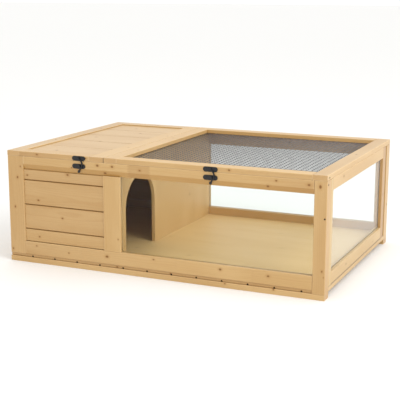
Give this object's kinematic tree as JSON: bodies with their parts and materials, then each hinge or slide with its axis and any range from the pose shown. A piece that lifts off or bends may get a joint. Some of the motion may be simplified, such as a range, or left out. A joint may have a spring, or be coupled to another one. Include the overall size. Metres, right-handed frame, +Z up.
{
  "type": "tortoise house",
  "caption": "Long low wooden tortoise house on skids: boarded hide with a wooden lid, glazed run with a net lid, arched doorway between, hook latches in front.",
  "frame": {"origin": "on the ground, under the middle of the house", "axes": "+X along the length from the hide to the run, +Y from the latches to the hinges, +Z up"},
  "size_m": [0.92, 0.6456, 0.315],
  "materials": {
    "fir_frame": "planed, clear varnished",
    "fir_boards": "planed, clear varnished",
    "fir_floor": "planed, bare",
    "clear_acrylic": "clear, polished",
    "dark_net_wire": "dark coated",
    "black_painted_metal": "black, satin",
    "zinc_hinge_steel": "zinc plated"
  },
  "bodies": {
    "house": {"back_bottom_rail": "fir_frame", "back_corner_post": "fir_frame", "back_hide_boards": "fir_boards", "back_hide_stile": "fir_frame", "back_middle_stile": "fir_frame", "back_shadow_strip": "fir_frame", "back_skid": "fir_frame", "back_top_rail": "fir_frame", "back_window_pane": "clear_acrylic", "box_hinge_leaf_1": "zinc_hinge_steel", "box_hinge_leaf_2": "zinc_hinge_steel", "box_hinge_leaf_3": "zinc_hinge_steel", "box_hinge_leaf_4": "zinc_hinge_steel", "dividing_wall": "fir_boards", "floor_panel": "fir_floor", "front_bottom_rail": "fir_frame", "front_corner_post": "fir_frame", "front_hide_board_1": "fir_boards", "front_hide_board_2": "fir_boards", "front_hide_board_3": "fir_boards", "front_hide_board_4": "fir_boards", "front_hide_stile": "fir_frame", "front_middle_stile": "fir_frame", "front_shadow_strip": "fir_frame", "front_skid": "fir_frame", "front_top_rail": "fir_frame", "front_window_pane": "clear_acrylic", "hide_end_back_stile": "fir_frame", "hide_end_base_strip": "fir_frame", "hide_end_boards": "fir_boards", "hide_end_bottom_rail": "fir_frame", "hide_end_front_stile": "fir_frame", "hide_end_top_rail": "fir_frame", "left_keeper_plate": "black_painted_metal", "right_keeper_plate": "black_painted_metal", "run_end_back_stile": "fir_frame", "run_end_base_strip": "fir_frame", "run_end_bottom_rail": "fir_frame", "run_end_front_stile": "fir_frame", "run_end_top_rail": "fir_frame", "run_end_window_pane": "clear_acrylic"},
    "left_lid": {"left_latch_plate": "black_painted_metal", "left_lid_back_rail": "fir_frame", "left_lid_front_rail": "fir_frame", "left_lid_hinge_leaf_1": "zinc_hinge_steel", "left_lid_hinge_leaf_2": "zinc_hinge_steel", "left_lid_left_rail": "fir_frame", "left_lid_right_rail": "fir_frame", "left_lid_roof_boards": "fir_boards"},
    "right_lid": {"right_latch_plate": "black_painted_metal", "right_lid_back_rail": "fir_frame", "right_lid_front_rail": "fir_frame", "right_lid_hinge_leaf_1": "zinc_hinge_steel", "right_lid_hinge_leaf_2": "zinc_hinge_steel", "right_lid_left_rail": "fir_frame", "right_lid_net": "dark_net_wire", "right_lid_right_rail": "fir_frame"},
    "left_hook": {"left_hook": "black_painted_metal"},
    "right_hook": {"right_hook": "black_painted_metal"}
  },
  "joints": [
    {"name": "left_lid_hinge", "type": "hinge", "parent": "house", "child": "left_lid", "pos_m": [-0.3085, 0.3203, 0.30115], "axis": [-1, 0, 0], "range_deg": [0, 175]},
    {"name": "right_lid_hinge", "type": "hinge", "parent": "house", "child": "right_lid", "pos_m": [0.1523, 0.3203, 0.30115], "axis": [-1, 0, 0], "range_deg": [0, 175]},
    {"name": "left_hook_pivot", "type": "hinge", "parent": "left_lid", "child": "left_hook", "pos_m": [-0.231, -0.3205, 0.30785], "axis": [0, -1, 0], "range_deg": [0, 115]},
    {"name": "right_hook_pivot", "type": "hinge", "parent": "right_lid", "child": "right_hook", "pos_m": [0.1535, -0.3205, 0.30785], "axis": [0, -1, 0], "range_deg": [0, 115]}
  ]
}
